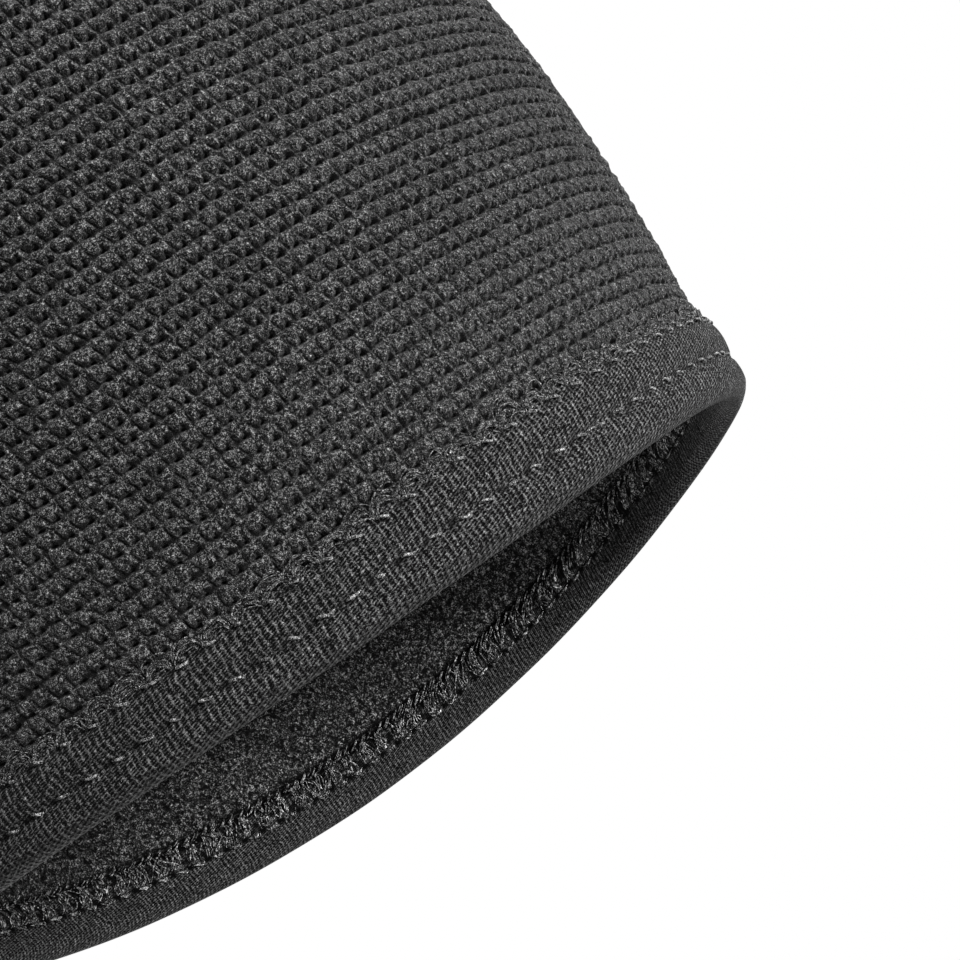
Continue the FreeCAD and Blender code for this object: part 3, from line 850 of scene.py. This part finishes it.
def looper_rungs(hem, first, span):
    """The looper thread inside a hem: strands from row to row, and short arcs along both rows."""
    strands, arc_strands, radius = 10, 6, 0.06
    rng = np.random.default_rng(13)
    s = np.linspace(0, 1, 11)
    arch = np.sin(np.pi * s)
    tape_face = -KNIT_WALL - TAPE_THICKNESS
    start_row = INNER_NEAR_ROW + 0.2
    paths = []
    for strand in range(strands):
        jitter = rng.normal(0, 1, (5, len(first), 1))
        offset = 0.4 + 0.18 * jitter[0] + (0.25 + 0.3 * jitter[3]) * (0.5 - s)
        wave = 0.12 * jitter[1] * arch + 0.08 * jitter[4] * np.sin(TAU * s)
        depth = start_row + (FAR_ROW - start_row) * s
        lift = tape_face - 0.35 - (0.2 + 0.12 * jitter[2]) * arch + 0.3 * (1 - arch) ** 3
        paths.append((first + span * (offset + wave), depth, lift))
        if strand < arc_strands:
            lift = tape_face - 0.1 - 0.3 * arch + 0.25 * (1 - arch) ** 4
            start = 0.04 + 0.5 * (strand % 2) + 0.05 * jitter[3]
            depth = FAR_ROW + 0.3 + 0.2 * jitter[4] + 0.9 * (0.5 - s)
            paths.append((first + span * (start + 0.44 * s), depth, lift))
            turn = first + span * (0.1 + 0.45 * s + 0.08 * jitter[4])
            depth = INNER_NEAR_ROW - (0.35 + 0.12 * jitter[3]) * arch
            paths.append((turn, depth, lift))
    hem_threads(
        hem, "looper_thread", "looper_rungs", paths, radius, 5, RUNG_THREAD
    )


def make_hems():
    for hem in ("calf", "thigh"):
        holes = binding(hem)
        first = holes[:, None]
        span = np.append(holes[1:], 1 + holes[0])[:, None] - first
        needle_stitches(hem, first, span)
        cover_loops(hem, first, span)
        looper_rungs(hem, first, span)


# ---------------------------------------------------------------- stays and their channels


def side_turn(sign, y, level, lift):
    """The turn at which the sleeve's side passes a given y."""
    _, half_depth, setback = section(level)
    return turn_at(sign * np.arccos(np.clip((y - setback) / (half_depth + lift), -1, 1)))


def side_point(sign, y, level, lift):
    return surface(side_turn(sign, y, level, lift), level, lift)


def strip(name, top, bottom, weave_size):
    """A thin closed sheet of channel tape from two grids of points, its face and its back."""
    rows, columns, _ = top.shape
    count = rows * columns
    quads, corner_column, corner_row = grid(rows, columns, False)
    index = np.arange(count).reshape(rows, columns)
    loop = np.concatenate([index[0, :-1], index[:-1, -1], index[-1, :0:-1], index[:0:-1, 0]])
    after = np.roll(loop, -1)
    walls = np.stack([loop, after, after + count, loop + count], -1)
    face_map = np.stack([corner_column / (columns - 1), corner_row / (rows - 1)], -1)

    def both_faces(size, shift):
        back = face_map[:, ::-1] * size + shift
        edges = np.zeros((walls.size, 2))
        return np.concatenate([(face_map * size).reshape(-1, 2), back.reshape(-1, 2), edges])

    return add_piece(
        name,
        np.concatenate([top.reshape(-1, 3), bottom.reshape(-1, 3)]),
        [quads, quads[:, ::-1] + count, walls],
        CHANNEL,
        maps={"OFBake": both_faces((0.5, 1.0), (0.5, 0)), "weave": both_faces(weave_size, 0)},
    )


def make_channels():
    """A sewn strip over each stay, inside the knit."""
    strip_thickness, crown_height = 0.7, 3.0
    cover, cover_fade = 9, 4  # how far the crown goes on past the stay, and fades
    low, high = node_span("right_channel", Z)
    front, back = node_span("right_channel", Y)
    stay_low, stay_high = node_span("right_stay", Z)
    level, y = np.meshgrid(np.linspace(low, high, 190), np.linspace(front, back, 45), indexing="ij")
    share = np.abs(y - (front + back) / 2) / ((back - front) / 2)
    over_stay = smooth((level - stay_low + cover) / cover_fade)
    over_stay = over_stay * smooth((stay_high + cover - level) / cover_fade)
    crown = crown_height * smooth((0.66 - share) / 0.3) * over_stay
    ripple = 0.08 * np.sin(level * TAU / STITCH_LENGTH) * pressed(share - 0.8, 0.2)
    rear_lift = -(KNIT_WALL + INNER_GAP + crown)
    for side, sign in SIDES:
        face = side_point(sign, y, level, rear_lift - strip_thickness - ripple)
        rear = side_point(sign, y, level, rear_lift)
        face, rear = face[:, ::sign], rear[:, ::sign]
        piece = strip(f"{side}_stay_channel", face, rear, (back - front, high - low))
        bend(piece)
        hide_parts(f"{side}_channel")


def make_stays():
    """A flattened spiral of spring wire in each channel."""
    wire, pitch, per_turn = 0.6, 1.35, 20  # the wire's diameter, and the spiral's pitch and steps
    half_thickness, clearance = 0.8, 0.6
    low, high = node_span("right_stay", Z)
    y_low, y_high = node_span("right_stay", Y)
    steps = np.arange(round((high - low - 2 * wire) / pitch * per_turn))
    phase = steps * TAU / per_turn
    level = low + wire + steps * pitch / per_turn
    half = (y_high - y_low) / 2 - wire / 2
    y = (y_low + y_high) / 2 + half * np.clip(1.15 * np.cos(phase), -1, 1)
    middle = KNIT_WALL + INNER_GAP + clearance + half_thickness
    lift = -middle + (half_thickness - wire / 2) * np.sin(phase)
    for side, sign in SIDES:
        centre = side_point(sign, y, level, lift)[None]
        up = np.broadcast_to((0.0, 0.0, 1.0), centre.shape)
        points, faces, maps = tubes(centre, up, wire / 2, 6)
        piece = add_piece(f"{side}_stay_spring", points, faces, STEEL, maps)
        bend(piece)
        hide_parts(f"{side}_stay")


def seam_piece(name, lines, node):
    """Stitches between needle holes on one or more lines, each given as turns and levels."""
    radius, hole_lift = 0.17, 0.1
    s = np.array((0, 0.08, 0.2, 0.35, 0.5, 0.65, 0.8, 0.92, 1.0))[:, None]
    rise = np.array((-0.45, 0.0, 0.18, 0.24, 0.24, 0.22, 0.16, 0.0, -0.45))[:, None]
    holes = [surface(turn, level, hole_lift) for turn, level in lines]
    start = np.concatenate([points[:-1] for points in holes])[:, None]
    end = np.concatenate([points[1:] for points in holes])[:, None]
    out = np.concatenate([outward(turn)[:-1] for turn, _ in lines])[:, None]
    paths = start * (1 - s) + end * s + out * rise
    points, faces, maps = tubes(paths, np.broadcast_to(out, paths.shape), radius, 8)
    piece = add_piece(name, points, faces, NEEDLE_THREAD, maps)
    bend(piece)
    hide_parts(node)


def make_channel_seams():
    low, high = node_span("right_channel", Z)
    front, back = node_span("right_channel", Y)
    count = round((high - low - 2 * SEAM_INSET) / STITCH_LENGTH)
    level = np.linspace(low + SEAM_INSET, high - SEAM_INSET, count + 1)
    for side, sign in SIDES:
        lines = [
            (side_turn(sign, np.full(len(level), y), level, 0), level)
            for y in (front + SEAM_INSET, back - SEAM_INSET)
        ]
        seam_piece(f"{side}_channel_thread", lines, f"{side}_channel_stitches")


# ---------------------------------------------------------------- kneecap ring and lining

RING_BAND = 11.0
RING_THICKNESS = 5.0


def lining_size():
    """The kneecap lining's half width, half height and middle level."""
    low, high = node_span("kneecap_lining", Z)
    return node_span("kneecap_lining", X)[1], (high - low) / 2, (low + high) / 2


def front_turn(x, level, lift):
    """The turn at which the sleeve's front passes a given x."""
    half_width = section(level)[0]
    return turn_at(np.pi - np.arcsin(np.clip(x / (half_width + lift), -1, 1)))


def front_point(x, level, lift):
    return surface(front_turn(x, level, lift), level, lift)


def make_lining():
    """A lining over the kneecap ring, sewn to the inside of the knit."""
    rings, spokes = 46, 160
    face_gap = INNER_GAP + 0.8  # from the knit to the lining's inner face
    half_width, half_height, middle = lining_size()
    ring_out = half_width - node_span("kneecap_ring", X)[1]
    reach = np.linspace(0.02, 1, rings)[:, None]
    angle = np.arange(spokes)[None] * TAU / spokes
    x = half_width * reach * np.sin(angle)
    level = middle + half_height * reach * np.cos(angle)
    out = half_width * (1 - reach)
    outer_slope, inner_slope = 3, 6  # widths of the lining's slopes over the ring
    crown = smooth((out - ring_out + outer_slope / 2) / outer_slope)
    crown = crown * smooth((ring_out + RING_BAND + inner_slope / 2 - out) / inner_slope)
    crown = (RING_THICKNESS + 0.2) * crown + 0 * angle
    points = []
    for gap in (face_gap, INNER_GAP):
        points.append(front_point(x, level, -(KNIT_WALL + gap + crown)).reshape(-1, 3))
    for gap in (face_gap, INNER_GAP):
        points.append(front_point(np.zeros(1), np.full(1, middle), -(KNIT_WALL + gap)))

    quads = grid(rings, spokes, True)[0]
    count = rings * spokes
    face_centre, back_centre = 2 * count, 2 * count + 1
    spoke = np.arange(spokes)
    after = (spoke + 1) % spokes
    fans = np.stack([np.full(spokes, face_centre), spoke, after], -1)
    back_fans = np.stack([np.full(spokes, back_centre), after + count, spoke + count], -1)
    rim, after_rim = count - spokes + spoke, count - spokes + after
    walls = np.stack([rim, rim + count, after_rim + count, after_rim], -1)
    faces = [
        np.concatenate([quads, quads[:, ::-1] + count, walls]),
        np.concatenate([fans, back_fans]),
    ]
    round_map = 0.5 + 0.5 * np.stack([reach * np.sin(angle), reach * np.cos(angle)], -1)
    round_map = round_map.reshape(-1, 2) * (0.5, 1)
    vertex_map = np.concatenate([round_map, round_map + (0.5, 0), ((0.25, 0.5), (0.75, 0.5))])
    lining = add_piece(
        "kneecap_pocket", np.concatenate(points), faces, LINING,
        maps={"OFBake": vertex_map[np.concatenate([f.ravel() for f in faces])]},
    )
    bend(lining)
    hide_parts("kneecap_lining")


def make_ring():
    """A soft gel ring round the kneecap, with rounded edges."""
    steps, sides, roundness = 200, 20, 0.7
    half_width, half_height, middle = lining_size()
    ring_width = node_span("kneecap_ring", X)[1]
    ring_height = half_height - (half_width - ring_width)
    along = np.arange(steps)[:, None] * TAU / steps
    cross = np.arange(sides)[None] * TAU / sides
    waves = np.stack([np.cos(cross), np.sin(cross)])
    radial, pad = np.sign(waves) * np.abs(waves) ** roundness
    radial = RING_BAND / 2 * radial
    x = (ring_width - RING_BAND / 2 + radial) * np.sin(along)
    level = middle + (ring_height - RING_BAND / 2 + radial) * np.cos(along)
    lift = -(KNIT_WALL + INNER_GAP + RING_THICKNESS / 2)
    lift = lift + (RING_THICKNESS / 2 - 0.1) * pad + 0 * along
    quads, corner_column, corner_row = grid(steps + 1, sides, True)
    bake = np.stack([corner_column / sides, corner_row / steps], -1)
    ring = add_piece(
        "kneecap_gel_ring", front_point(x, level, lift), [quads[:, ::-1] % (steps * sides)],
        GEL, maps={"OFBake": bake[:, ::-1]},
    )
    bend(ring)
    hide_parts("kneecap_ring")


def make_lining_seam():
    half_width, half_height, middle = lining_size()
    seam_width, seam_height = half_width - SEAM_INSET, half_height - SEAM_INSET
    count = round(math.pi * (seam_width + seam_height) / STITCH_LENGTH)
    angle = np.arange(count + 1) * TAU / count
    level = middle + seam_height * np.cos(angle)
    turn = front_turn(seam_width * np.sin(angle), level, 0)
    seam_piece("kneecap_thread", [(turn, level)], "lining_stitches")


def finish_tips():
    """The stays' tips keep their shape and get a moulded finish."""
    for node in ("upper_stay_tips", "lower_stay_tips"):
        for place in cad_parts[node].material_slots:
            place.material = TIP


# ---------------------------------------------------------------- studio, in metres


def make_floor():
    """A pale floor that fades to white away from the brace."""
    half, fade_radius, drop = 0.9, 0.6, 0.0004
    mesh = bpy.data.meshes.new("floor")
    corners = [(-half, -half, 0), (half, -half, 0), (half, half, 0), (-half, half, 0)]
    mesh.from_pydata(corners, [], [(0, 1, 2, 3)])
    floor = new_object("floor", mesh)
    floor.location.z = -drop
    nodes, shader, place = new_finish("floor_paper")
    grain = nodes.ramp(nodes.noise(place, 400, 2), (0.3, 0.86), (0.7, 0.9))
    nodes.put(shader, {"Base Color": grain, "Roughness": 0.9})
    scaled = nodes.add("VectorMath", {0: place, "Scale": 1 / fade_radius}, operation="SCALE")
    gradient = nodes.add(
        "TexGradient", {"Vector": scaled.outputs["Vector"]}, gradient_type="SPHERICAL"
    )
    faded = nodes.ramp(gradient.outputs["Fac"], (0.0, 1.0), (0.55, 0.0))
    white = nodes.add("Emission", {"Color": (1, 1, 1, 1)}).outputs["Emission"]
    seen = nodes.add("LightPath").outputs["Is Camera Ray"]
    inputs = {"Fac": nodes.math("MULTIPLY", seen, faded), 1: shader.outputs["BSDF"], 2: white}
    mix = nodes.add("MixShader", inputs).outputs["Shader"]
    nodes.put(nodes.tree.nodes["Material Output"], {"Surface": mix})
    mesh.materials.append(nodes.owner)


def make_world():
    """A white backdrop for the camera and for gloss, and a dimmer light on the object."""
    light = 0.22
    world = bpy.data.worlds.new("studio")
    bpy.context.scene.world = world
    nodes = Nodes(world)
    rays = nodes.add("LightPath").outputs
    shown = nodes.math("MAXIMUM", rays["Is Camera Ray"], rays["Is Transmission Ray"])
    shown = nodes.math("MAXIMUM", shown, rays["Is Glossy Ray"])
    strength = nodes.math("MULTIPLY_ADD", shown, 1 - light, light)
    background = nodes.tree.nodes["Background"]
    nodes.put(background, {"Color": (1, 1, 1, 1), "Strength": strength})


def add_lamp(name, place, aim, size, watts):
    lamp = bpy.data.lights.new(name, "AREA")
    lamp.shape = "DISK"
    lamp.size = size
    lamp.energy = watts
    holder = new_object(name, lamp)
    holder.location = place
    holder.rotation_mode = "QUATERNION"
    holder.rotation_quaternion = (Vector(place) - Vector(aim)).to_track_quat("Z", "Y")


def make_lights():
    centre = (0, 0, 0.16)
    add_lamp("key", (0.75, 0.75, 0.17), centre, 0.28, 17)
    add_lamp("front", (-0.5, -0.9, 0.7), centre, 0.7, 8)
    add_lamp("fill", (-0.5, 0.6, 0.75), centre, 0.5, 2)


def make_camera():
    """Close to the thigh hem from behind, level, with the leg's axis rolled over."""
    look, roll = math.radians(15.25), math.radians(33.75)
    place = (-0.0232, 0.183, (BACK_HEIGHT - 6.6) * MM)
    forward = np.array((math.sin(look), -math.cos(look), 0))
    level_right = np.array((math.cos(look), math.sin(look), 0))
    down = np.array((0, 0, 1.0))
    right = math.cos(roll) * level_right + math.sin(roll) * down
    up = math.sin(roll) * level_right - math.cos(roll) * down
    camera = bpy.data.cameras.new("camera")
    camera.lens = 56.25
    camera.sensor_width = 36
    camera.clip_start = 0.005
    holder = new_object("camera", camera)
    holder.matrix_world = Matrix((*zip(right, up, -forward, place), (0, 0, 0, 1)))
    bpy.context.scene.camera = holder


make_knit()
make_hems()
make_channels()
make_stays()
make_channel_seams()
make_lining()
make_ring()
make_lining_seam()
finish_tips()
make_floor()
make_world()
make_lights()
make_camera()
bpy.context.scene.view_settings.view_transform = "Standard"
